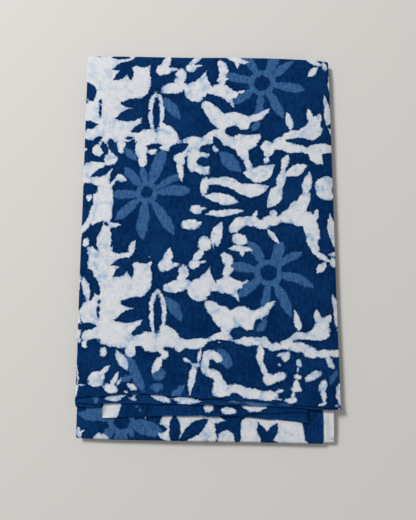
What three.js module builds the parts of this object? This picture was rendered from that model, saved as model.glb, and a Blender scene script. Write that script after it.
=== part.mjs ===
// A cut length of block-printed cotton cloth, folded for a shelf. It is folded in half and in half again
// across its width, which makes a strip of four plies, and the strip runs back and forth in five passes.
// The lowest pass ends at the far side, and the top pass ends at the near side in stepped cut edges.
// Millimetres. X runs across the pile, Y away from the stepped end, Z up from the surface it lies on.

import * as THREE from 'three';

// The folded pile, seen from above
const WIDTH = 278.5;
const LENGTH = 427;

// The layers. Two plies of cotton that lie together are modelled as one sheet, a doubled ply.
const DOUBLED_PLY = 1;
const GAP_IN_STRIP = 0.3;
const GAP_BETWEEN_PASSES = 0.4;

// What follows from them
const STRIP = 2 * DOUBLED_PLY + GAP_IN_STRIP;
const PITCH = STRIP + GAP_BETWEEN_PASSES;
const TURN_RADIUS = PITCH / 2;
const FOLD_REACH = TURN_RADIUS + STRIP / 2;
const NOSE = DOUBLED_PLY / 2;

// The strip's edges in each pass, from the floor up: the nested fold at its left, the centre fold at the
// right of its upper ply and the selvedges at the right of its lower ply, at the far and the near side.
const PASSES = [
  // left fold, centre fold and selvedges, each at the far and at the near side
  [-136.0, -136.5, 133.0, 132.0, 114.0, 116.0],
  [-137.5, -137.0, 136.0, 133.0, 119.0, 117.0],
  [-136.5, -137.5, 135.5, 131.5, 118.0, 118.0],
  [-136.0, -138.0, 136.5, 132.0, 120.5, 120.3],
  [-136.5, -139.25, 137.0, 139.25, 118.0, 104.0],
].map(([farLeft, nearLeft, farCentre, nearCentre, farSelvedge, nearSelvedge]) => (
  { farLeft, nearLeft, farCentre, nearCentre, farSelvedge, nearSelvedge }
));

// Where the folds and the cut ends lie, as lines across the pile, from the floor up
const BOTTOM_CUT = [{ x: -139, y: 207 }, { x: 139, y: 203 }];
const LOWER_NEAR_FOLD = [
  { x: -139, y: -207 }, { x: -36, y: -211 }, { x: 60, y: -210.5 }, { x: 139, y: -212 },
];
const LOWER_FAR_FOLD = [{ x: -139, y: 211 }, { x: 20, y: 210.5 }, { x: 139, y: 206.5 }];
const UPPER_NEAR_FOLD = [
  { x: -139, y: -207.5 }, { x: -95, y: -209.5 }, { x: 43, y: -211.8 }, { x: 119, y: -213.5 },
];
const UPPER_FAR_FOLD = [
  { x: -139, y: 213.5 }, { x: 17, y: 211.7 }, { x: 80, y: 210.5 }, { x: 139, y: 208 },
];

// The stepped cut ends of the four plies in the top pass, from the top ply down. The two lower plies
// stand out in a tongue that starts in a square jog.
const JOG = { from: -111, to: -110 };
const FIRST_CUT = [
  { x: -139, y: -165 }, { x: -70, y: -161 }, { x: 5, y: -166 }, { x: 70, y: -171 }, { x: 139, y: -176.5 },
];
const SECOND_CUT = [
  { x: -139, y: -171 }, { x: -60, y: -171.3 }, { x: 5, y: -172.3 }, { x: 40, y: -173.3 },
  { x: 80, y: -175 }, { x: 139, y: -178.8 },
];
const THIRD_CUT = [
  { x: -139, y: -174.6 }, { x: JOG.from, y: -174.6 }, { x: JOG.to, y: -185.8 }, { x: -50, y: -184 },
  { x: 5, y: -183.6 }, { x: 25, y: -184.6 }, { x: 40, y: -182.6 }, { x: 60, y: -181.4 },
  { x: 104, y: -180.2 },
];
const FOURTH_CUT = [
  { x: -139, y: -175 }, { x: JOG.from, y: -175 }, { x: JOG.to, y: -185.2 }, { x: -40, y: -183.2 },
  { x: 5, y: -183 }, { x: 25, y: -184.2 }, { x: 60, y: -187.4 }, { x: 104, y: -190.8 },
];

// How far the pile sinks towards each side, as a share of its height, and over how wide a border. It sinks
// most at its right, where the lower ply of every pass stops short. Its top rises and falls softly.
const SLUMPS = [
  { side: 'left', depth: 0.06, reach: 22 },
  { side: 'right', depth: 0.24, reach: 34 },
  { side: 'near', depth: 0.06, reach: 20 },
  { side: 'far', depth: 0.08, reach: 24 },
];
const WAVES = [
  { height: 0.035, across: 190, along: 260, start: 0.6 },
  { height: 0.022, across: -120, along: 170, start: 2.1 },
];

// Steps of the faceted surface
const PASS_STEPS = [7, 7, 7, 8, 11];
const FOLD_STEPS = 6;
const PLY_STEPS = 7;
const LEFT_FOLD_STEPS = 6;

const mix = THREE.MathUtils.lerp;

function lineAt(line, x) {
  const next = line.findIndex((point, i) => i > 0 && x < point.x);
  const end = next < 0 ? line.length - 1 : next;
  const a = line[end - 1];
  const b = line[end];
  return mix(a.y, b.y, THREE.MathUtils.clamp((x - a.x) / (b.x - a.x), 0, 1));
}

// How much thinner or thicker the pile is at a place, as a factor on every height
function pressed(x, y) {
  const insets = { left: WIDTH / 2 + x, right: WIDTH / 2 - x, near: LENGTH / 2 + y, far: LENGTH / 2 - y };
  let height = 1;
  SLUMPS.forEach(({ side, depth, reach }) => {
    height -= depth * (1 - THREE.MathUtils.smoothstep(insets[side], 0, reach));
  });
  WAVES.forEach((wave) => {
    height += wave.height * Math.sin(2 * Math.PI * (x / wave.across + y / wave.along) + wave.start);
  });
  return height;
}

// The strip's section, as pairs of points on its outer and inner face, from the selvedges of the lower ply
// round the left fold to the nose of the centre fold. across runs from the left fold, 0, to an edge, 1.
function sectionPairs() {
  const top = PASSES[PASSES.length - 1];
  const jogAt = (x) => (x - top.nearLeft - STRIP / 2) / (top.nearSelvedge - top.nearLeft - STRIP / 2);
  const even = Array.from({ length: PLY_STEPS + 1 }, (_, i) => i / PLY_STEPS);
  const lower = [...even, jogAt(JOG.from), jogAt(JOG.to)].sort((a, b) => b - a);
  const pairs = lower.map((across) => ({ ply: 'lower', across, turn: 0 }));
  for (let i = 1; i < LEFT_FOLD_STEPS; i += 1) {
    pairs.push({ ply: 'fold', across: 0, turn: i / LEFT_FOLD_STEPS });
  }
  return pairs.concat(even.map((across) => ({ ply: 'upper', across, turn: 1 })));
}

// X and height of a section point. depth is its distance from the middle of the strip's left fold.
function sectionPoint(pair, depth, edges) {
  const foldX = edges.left + STRIP / 2;
  const angle = Math.PI * pair.turn;
  const edge = pair.ply === 'lower' ? edges.selvedge : edges.centre - NOSE;
  return {
    x: mix(foldX, edge, pair.across) - depth * Math.sin(angle),
    h: -depth * Math.cos(angle),
  };
}

// The cut line that a point of the top pass ends on
function cutAt(pair, isOuter, x) {
  const upper = lineAt(isOuter ? FIRST_CUT : SECOND_CUT, x);
  const lower = lineAt(isOuter ? FOURTH_CUT : THIRD_CUT, x);
  return mix(lower, upper, pair.turn);
}

const FAR_LINES = [BOTTOM_CUT, LOWER_FAR_FOLD, LOWER_FAR_FOLD, UPPER_FAR_FOLD, UPPER_FAR_FOLD];
const NEAR_LINES = [LOWER_NEAR_FOLD, LOWER_NEAR_FOLD, UPPER_NEAR_FOLD, UPPER_NEAR_FOLD, null];

const passHeight = (pass) => STRIP / 2 + pass * PITCH;
const runsNear = (pass) => pass % 2 === 0;

function edgesAt(pass, nearness) {
  const row = PASSES[pass];
  return {
    left: mix(row.farLeft, row.nearLeft, nearness),
    centre: mix(row.farCentre, row.nearCentre, nearness),
    selvedge: mix(row.farSelvedge, row.nearSelvedge, nearness),
  };
}

function mixEdges(a, b, t) {
  return {
    left: mix(a.left, b.left, t),
    centre: mix(a.centre, b.centre, t),
    selvedge: mix(a.selvedge, b.selvedge, t),
  };
}

// A row of the cloth in a flat pass. far and near are where the pass starts to turn, or its cut end.
function passRow(pass, progress) {
  const nearness = runsNear(pass) ? progress : 1 - progress;
  const edges = edgesAt(pass, nearness);
  const facing = runsNear(pass) ? 1 : -1;
  return (pair, depth, isOuter) => {
    const { x, h } = sectionPoint(pair, depth, edges);
    const far = lineAt(FAR_LINES[pass], x) - (pass === 0 ? 0 : FOLD_REACH);
    const near = NEAR_LINES[pass] ? lineAt(NEAR_LINES[pass], x) + FOLD_REACH : cutAt(pair, isOuter, x);
    return new THREE.Vector3(x, mix(far, near, nearness), passHeight(pass) + facing * h);
  };
}

// A row of the cloth in the fold from one pass up to the next
function foldRow(pass, progress) {
  const side = runsNear(pass) ? 1 : 0;
  const edges = mixEdges(edgesAt(pass, side), edgesAt(pass + 1, side), progress);
  const angle = Math.PI * progress;
  const middle = passHeight(pass) + TURN_RADIUS;
  return (pair, depth) => {
    const { x, h } = sectionPoint(pair, depth, edges);
    const radius = runsNear(pass) ? TURN_RADIUS - h : TURN_RADIUS + h;
    const y = runsNear(pass)
      ? lineAt(NEAR_LINES[pass], x) + FOLD_REACH - radius * Math.sin(angle)
      : lineAt(FAR_LINES[pass], x) - FOLD_REACH + radius * Math.sin(angle);
    return new THREE.Vector3(x, y, middle - radius * Math.cos(angle));
  };
}

function clothRows() {
  const rows = [];
  PASSES.forEach((_, pass) => {
    for (let i = 0; i <= PASS_STEPS[pass]; i += 1) {
      rows.push(passRow(pass, i / PASS_STEPS[pass]));
    }
    if (pass < PASSES.length - 1) {
      for (let i = 1; i < FOLD_STEPS; i += 1) {
        rows.push(foldRow(pass, i / FOLD_STEPS));
      }
    }
  });
  return rows;
}

// A closed ring of points for each row: along the outer face, round the nose of the centre fold and back
// along the inner face to the selvedges. Rings are joined by quads, and the two cut ends are closed.
function foldedClothGeometry() {
  const pairs = sectionPairs();
  const outerDepth = STRIP / 2;
  const innerDepth = GAP_IN_STRIP / 2;
  const rings = clothRows().map((row) => {
    const outer = pairs.map((pair) => row(pair, outerDepth, true));
    const inner = pairs.map((pair) => row(pair, innerDepth, false));
    const nose = outer[outer.length - 1].clone().lerp(inner[inner.length - 1], 0.5);
    nose.x += NOSE;
    return [...outer, nose, ...inner.reverse()];
  });

  const count = rings[0].length;
  const positions = rings.flat().flatMap((p) => [p.x, p.y, p.z * pressed(p.x, p.y)]);
  const triangles = [];
  const quad = (a, b, c, d) => triangles.push(a, b, c, a, c, d);
  for (let j = 0; j < rings.length - 1; j += 1) {
    for (let i = 0; i < count; i += 1) {
      const next = (i + 1) % count;
      quad(j * count + i, (j + 1) * count + i, (j + 1) * count + next, j * count + next);
    }
  }
  const capEnd = (start, flip) => {
    const n = pairs.length;
    for (let i = 0; i < n - 1; i += 1) {
      const ring = [i, i + 1, count - 2 - i, count - 1 - i].map((k) => start + k);
      quad(...(flip ? ring.reverse() : ring));
    }
    const tip = [n - 1, n, n + 1].map((k) => start + k);
    triangles.push(...(flip ? tip.reverse() : tip));
  };
  capEnd(0, false);
  capEnd((rings.length - 1) * count, true);

  const geometry = new THREE.BufferGeometry();
  geometry.setAttribute('position', new THREE.Float32BufferAttribute(positions, 3));
  geometry.setIndex(triangles);
  geometry.computeVertexNormals();
  return geometry;
}

const cottonMaterial = new THREE.MeshStandardMaterial({ color: 0x2a4f86, roughness: 0.9, metalness: 0 });

const foldedCloth = new THREE.Mesh(foldedClothGeometry(), cottonMaterial);
foldedCloth.name = 'folded_cloth';

const group = new THREE.Group();
group.add(foldedCloth);

export default group;
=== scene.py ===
"""A cut length of block-printed cotton cloth, folded in four across its width and then back and forth
along its length. Its passes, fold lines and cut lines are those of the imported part. Sizes are millimetres,
and become metres where a mesh is made. X runs across the pile, Y away from the stepped cut end, Z up."""

import math

import bpy
import numpy as np
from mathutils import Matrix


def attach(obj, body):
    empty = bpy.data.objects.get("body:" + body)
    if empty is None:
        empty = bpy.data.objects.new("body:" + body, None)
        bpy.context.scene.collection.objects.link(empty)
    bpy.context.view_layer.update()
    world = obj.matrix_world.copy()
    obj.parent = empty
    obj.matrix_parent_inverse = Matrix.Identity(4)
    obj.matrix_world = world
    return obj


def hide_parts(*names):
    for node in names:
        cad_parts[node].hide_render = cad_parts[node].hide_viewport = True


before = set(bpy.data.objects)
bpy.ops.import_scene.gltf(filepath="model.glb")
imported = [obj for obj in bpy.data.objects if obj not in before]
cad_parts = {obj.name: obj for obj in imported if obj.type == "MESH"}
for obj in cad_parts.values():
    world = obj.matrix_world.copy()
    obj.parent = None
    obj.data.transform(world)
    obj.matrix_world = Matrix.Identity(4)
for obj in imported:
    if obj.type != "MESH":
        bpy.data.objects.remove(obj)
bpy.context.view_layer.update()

MM = 0.001

# ------------------------------
# Sizes of the folded cloth, in millimetres

WIDTH = 278.5
LENGTH = 427.0

PLY = 0.35  # the cotton's thickness
PLY_STEP = 0.65  # from one ply to the next
PASS_STEP = 2.7  # from one pass of four plies to the next
STRIP = PLY + 3 * PLY_STEP  # four plies
TURN_RADIUS = PASS_STEP / 2
FOLD_REACH = TURN_RADIUS + STRIP / 2

# The strip's edges in each pass, from the floor up: its left fold, its centre fold and its selvedges,
# at the far and at the near side.
PASSES = (
    # left far, left near, centre far, centre near, selvedge far, selvedge near
    (-136.0, -136.5, 133.0, 132.0, 114.0, 116.0),
    (-137.5, -137.0, 136.0, 133.0, 119.0, 117.0),
    (-136.5, -137.5, 135.5, 131.5, 118.0, 118.0),
    (-136.0, -138.0, 136.5, 132.0, 120.5, 120.3),
    (-136.5, -139.25, 137.0, 139.25, 118.0, 104.0),
)

# Lines across the pile, as places (x, y): its folds and its cut ends, from the floor up
BOTTOM_CUT = ((-139, 207), (139, 203))
LOWER_NEAR_FOLD = ((-139, -207), (-36, -211), (60, -210.5), (139, -212))
LOWER_FAR_FOLD = ((-139, 211), (20, 210.5), (139, 206.5))
UPPER_NEAR_FOLD = ((-139, -207.5), (-95, -209.5), (43, -211.8), (119, -213.5))
UPPER_FAR_FOLD = ((-139, 213.5), (17, 211.7), (80, 210.5), (139, 208))
FIRST_CUT = ((-139, -165), (-70, -161), (5, -166), (70, -171), (139, -176.5))
SECOND_CUT = ((-139, -171), (-60, -171.3), (5, -172.3), (40, -173.3), (80, -175), (139, -178.8))
THIRD_CUT = (
    (-139, -174.6), (-111, -174.6), (-110, -185.8), (-50, -184), (5, -183.6), (25, -184.6), (40, -182.6),
    (60, -181.4), (104, -180.2),
)
FOURTH_CUT = (
    (-139, -175), (-111, -175), (-110, -185.2), (-40, -183.2), (5, -183), (25, -184.2), (60, -187.4),
    (104, -190.8),
)
FAR_LINES = (BOTTOM_CUT, LOWER_FAR_FOLD, LOWER_FAR_FOLD, UPPER_FAR_FOLD, UPPER_FAR_FOLD)
NEAR_LINES = (LOWER_NEAR_FOLD, LOWER_NEAR_FOLD, UPPER_NEAR_FOLD, UPPER_NEAR_FOLD, None)

# How far the pile sinks towards each side, as a share of its height, and over how wide a border. At the
# right it sinks in two steps.
SLUMPS = (
    # side, depth, reach
    ("left", 0.06, 22),
    ("right", 0.16, 34),
    ("right", 0.13, 9),
    ("near", 0.06, 20),
    ("far", 0.08, 24),
)
# Soft waves of the whole pile, as shares of its height
WAVES = (
    # height, millimetres across, millimetres along, start
    (0.035, 190, 260, 0.6),
    (0.022, -120, 170, 2.1),
)
# Main creases of the top pass: soft ridges, or troughs where the height is below zero
CREASES = (
    # x, y, angle, half length, half width, height
    (126, 95, 80, 70, 9, 0.55),
    (112, 70, 74, 60, 7, -0.45),
    (60, -148, 4, 80, 7, 0.5),
    (-70, -143, -4, 55, 8, 0.4),
    (-40, 60, 86, 120, 12, 0.3),
    (30, 20, 3, 120, 10, -0.3),
    (-100, -60, 70, 60, 9, 0.35),
    (80, -70, 100, 70, 10, 0.3),
    (-90, 150, 20, 60, 10, -0.3),
    (20, 185, -6, 70, 8, 0.25),
)
CREASE_FADE = 0.3  # from which share of its half length on a crease fades out
PILE_HEIGHT = 13.1
SHARP_FROM = 55.0  # degrees between faces from which their edge is drawn sharp

# The uneven line of the scissors
CUT_WAVES = (
    # height, millimetres to a radian, radians from one ply to the next
    (0.35, 5.3, 2),
    (0.25, 2.9, 5),
)

# The cut ends of the top pass lift a little off the plies below them, and its lower plies curl up at
# their corner by the selvedge.
END_LIFT = 2.6
END_LIFT_REACH = 12.0
LEAST_LIFT = 0.25  # the share of it that the lowest ply has
LIFT_MIDDLE = 0.6  # the share about which it waves
LIFT_WAVES = (
    # height, millimetres to a radian, radians for a millimetre of height, start
    (0.25, 23.0, 0.8, 1.1),
    (0.15, 9.0, 0.0, 2.0),
)
END_CURL = 0.8
END_CURL_REACH = 2.8
STEADY_CURL = 0.7  # the share of it that is the same everywhere
WAVING_CURL = 0.5  # the share that follows the wave
CORNER = (104.0, -190.0)
CORNER_LIFT = 1.5
CORNER_REACH = (10.0, 8.0)
# Heights in the strip between which a lift sets in or fades from one ply to the next
BELOW_SECOND = (-0.3, 0.0)
BELOW_THIRD = (-0.7, -0.4)
ABOVE_THIRD = (-0.2, 0.0)

# A small pleat pressed across the third ply's end: where, its lean, half width, height, and from where to
# where it fades out, in front of its place
PLEAT = (-65.0, -178.5)
PLEAT_LEAN = 0.12
PLEAT_HALF_WIDTH = 0.9
PLEAT_HEIGHT = 2.1
PLEAT_FADE = (5, 8)

# In the pass below the top one, the tab that shows past the selvedge stands in a soft ridge, and the
# selvedge curls up over it.
TAB_START = 118.0
TAB_SLOPE = 3
TAB_RIDGE = 123.8
TAB_WAVE = 8.0
TAB_HEIGHT = 1.1
TAB_PLIES = (-0.1, 0.1)  # heights in the strip between which the tab's plies begin
TAB_FADE = (5, 12)  # behind the corner of the top pass
TAB_FLAT = 5  # at the near fold
SELVEDGE_START = 114.0
SELVEDGE_END = PASSES[-2][-1]
SELVEDGE_CURL = 0.8


def along_line(line, x):
    places = np.array(line, float)
    return np.interp(x, places[:, 0], places[:, 1])


def smooth_step(value, low, high):
    t = np.clip((value - low) / (high - low), 0, 1)
    return t * t * (3 - 2 * t)


def pressed(x, y):
    """How much thinner or thicker the pile is at a place, as a factor on every height."""
    insets = {
        "left": WIDTH / 2 + x,
        "right": WIDTH / 2 - x,
        "near": LENGTH / 2 + y,
        "far": LENGTH / 2 - y,
    }
    height = np.ones_like(x)
    for side, depth, reach in SLUMPS:
        height -= depth * (1 - smooth_step(insets[side], 0, reach))
    for size, across, along, start in WAVES:
        height += size * np.sin(2 * math.pi * (x / across + y / along) + start)
    return height


def creased(x, y):
    """Height of the listed creases over a place."""
    height = np.zeros_like(x)
    for cx, cy, angle, half_length, half_width, size in CREASES:
        turn = math.radians(angle)
        along = (x - cx) * math.cos(turn) + (y - cy) * math.sin(turn)
        across = (y - cy) * math.cos(turn) - (x - cx) * math.sin(turn)
        ends = 1 - smooth_step(np.abs(along), CREASE_FADE * half_length, half_length)
        height += size * ends * np.exp(-((across / half_width) ** 2))
    return height


def settled(x, y, z):
    """Heights after the pile has been pressed and creased. Lower plies are creased less."""
    share = np.clip(z / PILE_HEIGHT, 0, 1) ** 2
    return z * pressed(x, y) + share * creased(x, y)


# ------------------------------
# The sheet's grid: columns across the strip's section, rows along the passes and their folds

def even(count):
    return np.linspace(0, 1, count + 1)


FOLD_STEPS = 8  # round a fold between two passes
# How the passes are divided: the shares of a pass at which its first and last borders end and begin, and
# how many points the first border, the middle and the last border have
HIDDEN = (0.06, 0.94, 4, 18, 4)
DIVISIONS = (HIDDEN, HIDDEN, HIDDEN, (0.1, 0.94, 12, 18, 4), (0.03, 0.9, 4, 78, 18))

# Where a ply is divided more finely, as shares of its width
JOG_STEPS = (0.112, 0.1165)
CORNER_STEPS = (0.95, 0.965, 0.978, 0.988)
TAB_STEPS = np.linspace(0.933, 0.994, 11)
PLEAT_STEPS = np.linspace(0.2935, 0.3115, 14)
LOWER_STEPS = np.sort(np.concatenate([even(30), JOG_STEPS, CORNER_STEPS]))
HIDDEN_STEPS = np.sort(np.concatenate([even(22), JOG_STEPS, PLEAT_STEPS, CORNER_STEPS]))
OUTER_STEPS = np.sort(np.concatenate([even(72), TAB_STEPS]))
INNER_STEPS = np.sort(np.concatenate([even(20), TAB_STEPS]))

# The section from the lower selvedge to the inner one. The cuts are those that a stretch ends on, where
# its steps are 0 and 1.
SECTION = (
    # stretch, steps, cut at 0, cut at 1
    ("outer_lower", LOWER_STEPS[::-1], 3, 3),
    ("outer_fold", even(8)[1:-1], 3, 0),
    ("outer_upper", OUTER_STEPS, 0, 0),
    ("centre_fold", even(6)[1:-1], 0, 1),
    ("inner_upper", INNER_STEPS[::-1], 1, 1),
    ("inner_fold", even(4)[1:-1], 1, 2),
    ("inner_lower", HIDDEN_STEPS, 2, 2),
)
CUTS = (FIRST_CUT, SECOND_CUT, THIRD_CUT, FOURTH_CUT)


def section(left, centre, selvedge):
    """For each column: X, height in the strip, the right side's normal there, and the place across the
    print. X and the print agree on the outer upper ply."""
    fold_x = left + STRIP / 2
    turn_x = centre - PLY_STEP / 2
    outer, inner = 1.5 * PLY_STEP, 0.5 * PLY_STEP
    outer_arc, inner_arc = math.pi * outer, math.pi * inner
    past_turn = turn_x + inner_arc
    past_fold = past_turn + turn_x - fold_x + inner_arc
    columns = []
    for stretch, steps, *_ in SECTION:
        angle = math.pi * steps
        sine, cosine, flat = np.sin(angle), np.cos(angle), np.zeros_like(steps)
        to_selvedge = fold_x + (selvedge - fold_x) * steps
        to_turn = fold_x + (turn_x - fold_x) * steps
        columns.append({
            "outer_lower": (to_selvedge, flat - outer, flat, flat - 1, 2 * fold_x - outer_arc - to_selvedge),
            "outer_fold": (fold_x - outer * sine, -outer * cosine, -sine, -cosine,
                           fold_x - outer * (math.pi - angle)),
            "outer_upper": (to_turn, flat + outer, flat, flat + 1, to_turn),
            "centre_fold": (turn_x + inner * sine, PLY_STEP + inner * cosine, sine, cosine,
                            turn_x + inner * angle),
            "inner_upper": (to_turn, flat + inner, flat, flat - 1, past_turn + turn_x - to_turn),
            "inner_fold": (fold_x - inner * sine, inner * cosine, sine, -cosine,
                           past_fold - inner_arc + inner * angle),
            "inner_lower": (to_selvedge, flat - inner, flat, flat + 1, past_fold + to_selvedge - fold_x),
        }[stretch])
    return [np.concatenate(values) for values in zip(*columns)]


def cut_mix():
    """For each column, the share of each of the cut lines that it ends on."""
    shares = []
    for _, steps, first, last in SECTION:
        share = np.zeros((len(steps), len(CUTS)))
        share[:, first] += 1 - steps
        share[:, last] += steps
        shares.append(share)
    return np.concatenate(shares)


CUT_SHARES = cut_mix()


def cut_line(x):
    """Y of the cut end at each column, with the small unevenness of a scissor cut."""
    lines = [along_line(line, x) for line in CUTS]
    for ply, line in enumerate(lines):
        line += sum(height * np.sin(x / length + turn * ply) for height, length, turn in CUT_WAVES)
    return (CUT_SHARES * np.stack(lines, 1)).sum(1)


def end_lift(x, y, h, near):
    """How far the top pass's cut ends stand off, at a height h in the strip and a cut line at near"""
    ply_share = LEAST_LIFT + (1 - LEAST_LIFT) * smooth_step(h, -STRIP / 2, STRIP / 2)
    wave = LIFT_MIDDLE
    for height, length, turn, start in LIFT_WAVES:
        wave = wave + height * np.sin(x / length + turn * h + start)
    lift = END_LIFT * ply_share * wave * (1 - smooth_step(y - near, 0, END_LIFT_REACH))
    curl = STEADY_CURL + WAVING_CURL * wave
    lift += END_CURL * curl * (1 - smooth_step(y - near, 0, END_CURL_REACH))
    low_ply = 1 - smooth_step(h, *BELOW_SECOND)
    by_selvedge = smooth_step(x, CORNER[0] - CORNER_REACH[0], CORNER[0])
    by_end = 1 - smooth_step(y, CORNER[1], CORNER[1] + CORNER_REACH[1])
    lift += CORNER_LIFT * low_ply * by_selvedge * by_end
    from_pleat = (x - PLEAT[0] - PLEAT_LEAN * (y - PLEAT[1])) / PLEAT_HALF_WIDTH
    in_third_ply = smooth_step(h, *BELOW_THIRD) * (1 - smooth_step(h, *ABOVE_THIRD))
    past_second = 1 - smooth_step(y, PLEAT[1] + PLEAT_FADE[0], PLEAT[1] + PLEAT_FADE[1])
    return lift + PLEAT_HEIGHT * in_third_ply * past_second * np.exp(-(from_pleat ** 2))


def tab_lift(x, y, h, near):
    """How far the pass below stands up where it shows at the right: its tab, and its selvedge over that"""
    in_tab_plies = smooth_step(h, *TAB_PLIES)
    wave = 0.5 + 0.5 * np.cos(2 * math.pi * (x - TAB_RIDGE) / TAB_WAVE)
    ridge = TAB_HEIGHT * in_tab_plies * smooth_step(x, TAB_START, TAB_START + TAB_SLOPE) * wave
    curl = SELVEDGE_CURL * (1 - in_tab_plies) * smooth_step(x, SELVEDGE_START, SELVEDGE_END)
    shown = 1 - smooth_step(y, CORNER[1] + TAB_FADE[0], CORNER[1] + TAB_FADE[1])
    return (ridge + curl) * shown * smooth_step(y - near, 0, TAB_FLAT)


def edges_at(index, nearness):
    """X of a pass's left fold, centre fold and selvedge, at a share of the way to its near end"""
    row = PASSES[index]
    return [row[k] + (row[k + 1] - row[k]) * nearness for k in (0, 2, 4)]


def pass_rows(index):
    """Rows of a flat pass: the strip's edges, a function that places section points, and whether folded."""
    runs_near = index % 2 == 0
    facing = 1 if runs_near else -1
    middle = STRIP / 2 + index * PASS_STEP
    first_end, last_start, first, between, last = DIVISIONS[index]
    steps = np.concatenate([
        np.linspace(0, first_end, first)[:-1],
        np.linspace(first_end, last_start, between),
        np.linspace(last_start, 1, last)[1:],
    ])
    rows = []
    for step in steps:
        nearness = step if runs_near else 1 - step

        def place(x, h, nearness=nearness):
            far = along_line(FAR_LINES[index], x) - (0 if index == 0 else FOLD_REACH)
            near_line = NEAR_LINES[index]
            near = along_line(near_line, x) + FOLD_REACH if near_line else cut_line(x)
            y = far + (near - far) * nearness
            z = middle + facing * h
            if index == len(PASSES) - 1:
                z = z + end_lift(x, y, h, near)
            if index == len(PASSES) - 2:
                z = z + tab_lift(x, y, h, near)
            return y, z

        rows.append((edges_at(index, nearness), place, False))
    return rows


def fold_rows(index):
    """Rows of the fold from one pass up to the next."""
    runs_near = index % 2 == 0
    side = 1 if runs_near else 0
    middle = STRIP / 2 + index * PASS_STEP + TURN_RADIUS
    below, above = edges_at(index, side), edges_at(index + 1, side)
    rows = []
    for step in even(FOLD_STEPS)[1:-1]:
        edges = [a + (b - a) * step for a, b in zip(below, above)]

        def place(x, h, angle=math.pi * step):
            if runs_near:
                radius = TURN_RADIUS - h
                y = along_line(NEAR_LINES[index], x) + FOLD_REACH - radius * np.sin(angle)
            else:
                radius = TURN_RADIUS + h
                y = along_line(FAR_LINES[index], x) - FOLD_REACH + radius * np.sin(angle)
            return y, middle - radius * np.cos(angle)

        rows.append((edges, place, True))
    return rows


def all_rows():
    rows = []
    for index in range(len(PASSES)):
        rows += pass_rows(index)
        if index < len(PASSES) - 1:
            rows += fold_rows(index)
    return rows


def cloth_points():
    """Points of the right and the wrong side, and the place in the print of each, as (rows, columns)."""
    right, wrong, across, middle_y, in_fold = [], [], [], [], []
    for edges, place, folded in all_rows():
        x, h, nx, nh, print_x = section(*edges)
        y, z = place(x, h)
        for side, sign in ((right, 0.5), (wrong, -0.5)):
            side_x, side_h = x + sign * PLY * nx, h + sign * PLY * nh
            side_y, side_z = place(side_x, side_h)
            side.append(np.stack([side_x, side_y, settled(side_x, side_y, side_z)], 1))
        across.append(print_x)
        middle_y.append(y)
        in_fold.append(folded)
    middle_y = np.array(middle_y)
    step = np.abs(np.diff(middle_y, axis=0))
    turning = np.array(in_fold[1:]) | np.array(in_fold[:-1])
    step[turning] = math.pi * TURN_RADIUS / FOLD_STEPS
    travel = np.concatenate([np.zeros_like(step[:1]), np.cumsum(step, axis=0)])
    top_start = len(in_fold) - in_fold[::-1].index(True)
    along = travel[top_start] + middle_y[top_start] - travel
    return np.array(right), np.array(wrong), np.array(across), along


def grid_faces(rows, columns, start, flip):
    index = start + np.arange(rows * columns).reshape(rows, columns)
    faces = np.stack([index[:-1, :-1], index[:-1, 1:], index[1:, 1:], index[1:, :-1]], -1).reshape(-1, 4)
    return faces[:, ::-1] if flip else faces


def rim_faces(rows, columns):
    """Faces that join the two sides round the sheet's four edges."""
    front = np.arange(rows * columns).reshape(rows, columns)
    ring = np.concatenate([front[0, :-1], front[:-1, -1], front[-1, :0:-1], front[:0:-1, 0]])
    after = np.roll(ring, -1)
    back = rows * columns
    return np.stack([ring, after, after + back, ring + back], 1)


def object_from(name, points, faces, places):
    """An object of these points, in millimetres, with the place in the print of each"""
    mesh = bpy.data.meshes.new(name)
    mesh.from_pydata((points * MM).tolist(), [], faces.tolist())
    held = mesh.attributes.new("cloth_place", "FLOAT_VECTOR", "POINT")
    held.data.foreach_set("vector", places.astype(np.float32).ravel())
    mesh.polygons.foreach_set("use_smooth", np.ones(len(faces), bool))
    made = bpy.data.objects.new(name, mesh)
    bpy.context.scene.collection.objects.link(made)
    return made


def make_cloth(right, wrong, across, along):
    rows, columns = across.shape
    points = np.concatenate([right.reshape(-1, 3), wrong.reshape(-1, 3)])
    faces = np.concatenate([
        grid_faces(rows, columns, 0, True),
        grid_faces(rows, columns, rows * columns, False),
        rim_faces(rows, columns),
    ])
    sides = np.repeat([0.0, 1.0], rows * columns)
    places = np.stack([np.tile(across.ravel(), 2), np.tile(along.ravel(), 2), sides], 1)
    cloth = object_from("printed_cloth", points, faces, places)
    cloth.data.set_sharp_from_angle(angle=math.radians(SHARP_FROM))
    return cloth


# ------------------------------
# Loose threads along the cut end of the top pass

THREAD_RADIUS = 0.09
THREAD_SPACING = 2.6
THREAD_GAPS = (0.4, 1.6)  # from one to the next, as shares of that
THREAD_LENGTHS = (0.3, 1.3)
THREAD_LEANS = (-0.5, 0.5)  # how far sideways, as shares of a thread's length
THREAD_RISES = (-0.1, 0.3)
THREAD_ROOT = 0.5  # how much of each lies inside the cloth
THREAD_RINGS = 6
THREAD_SEED = 7
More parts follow.
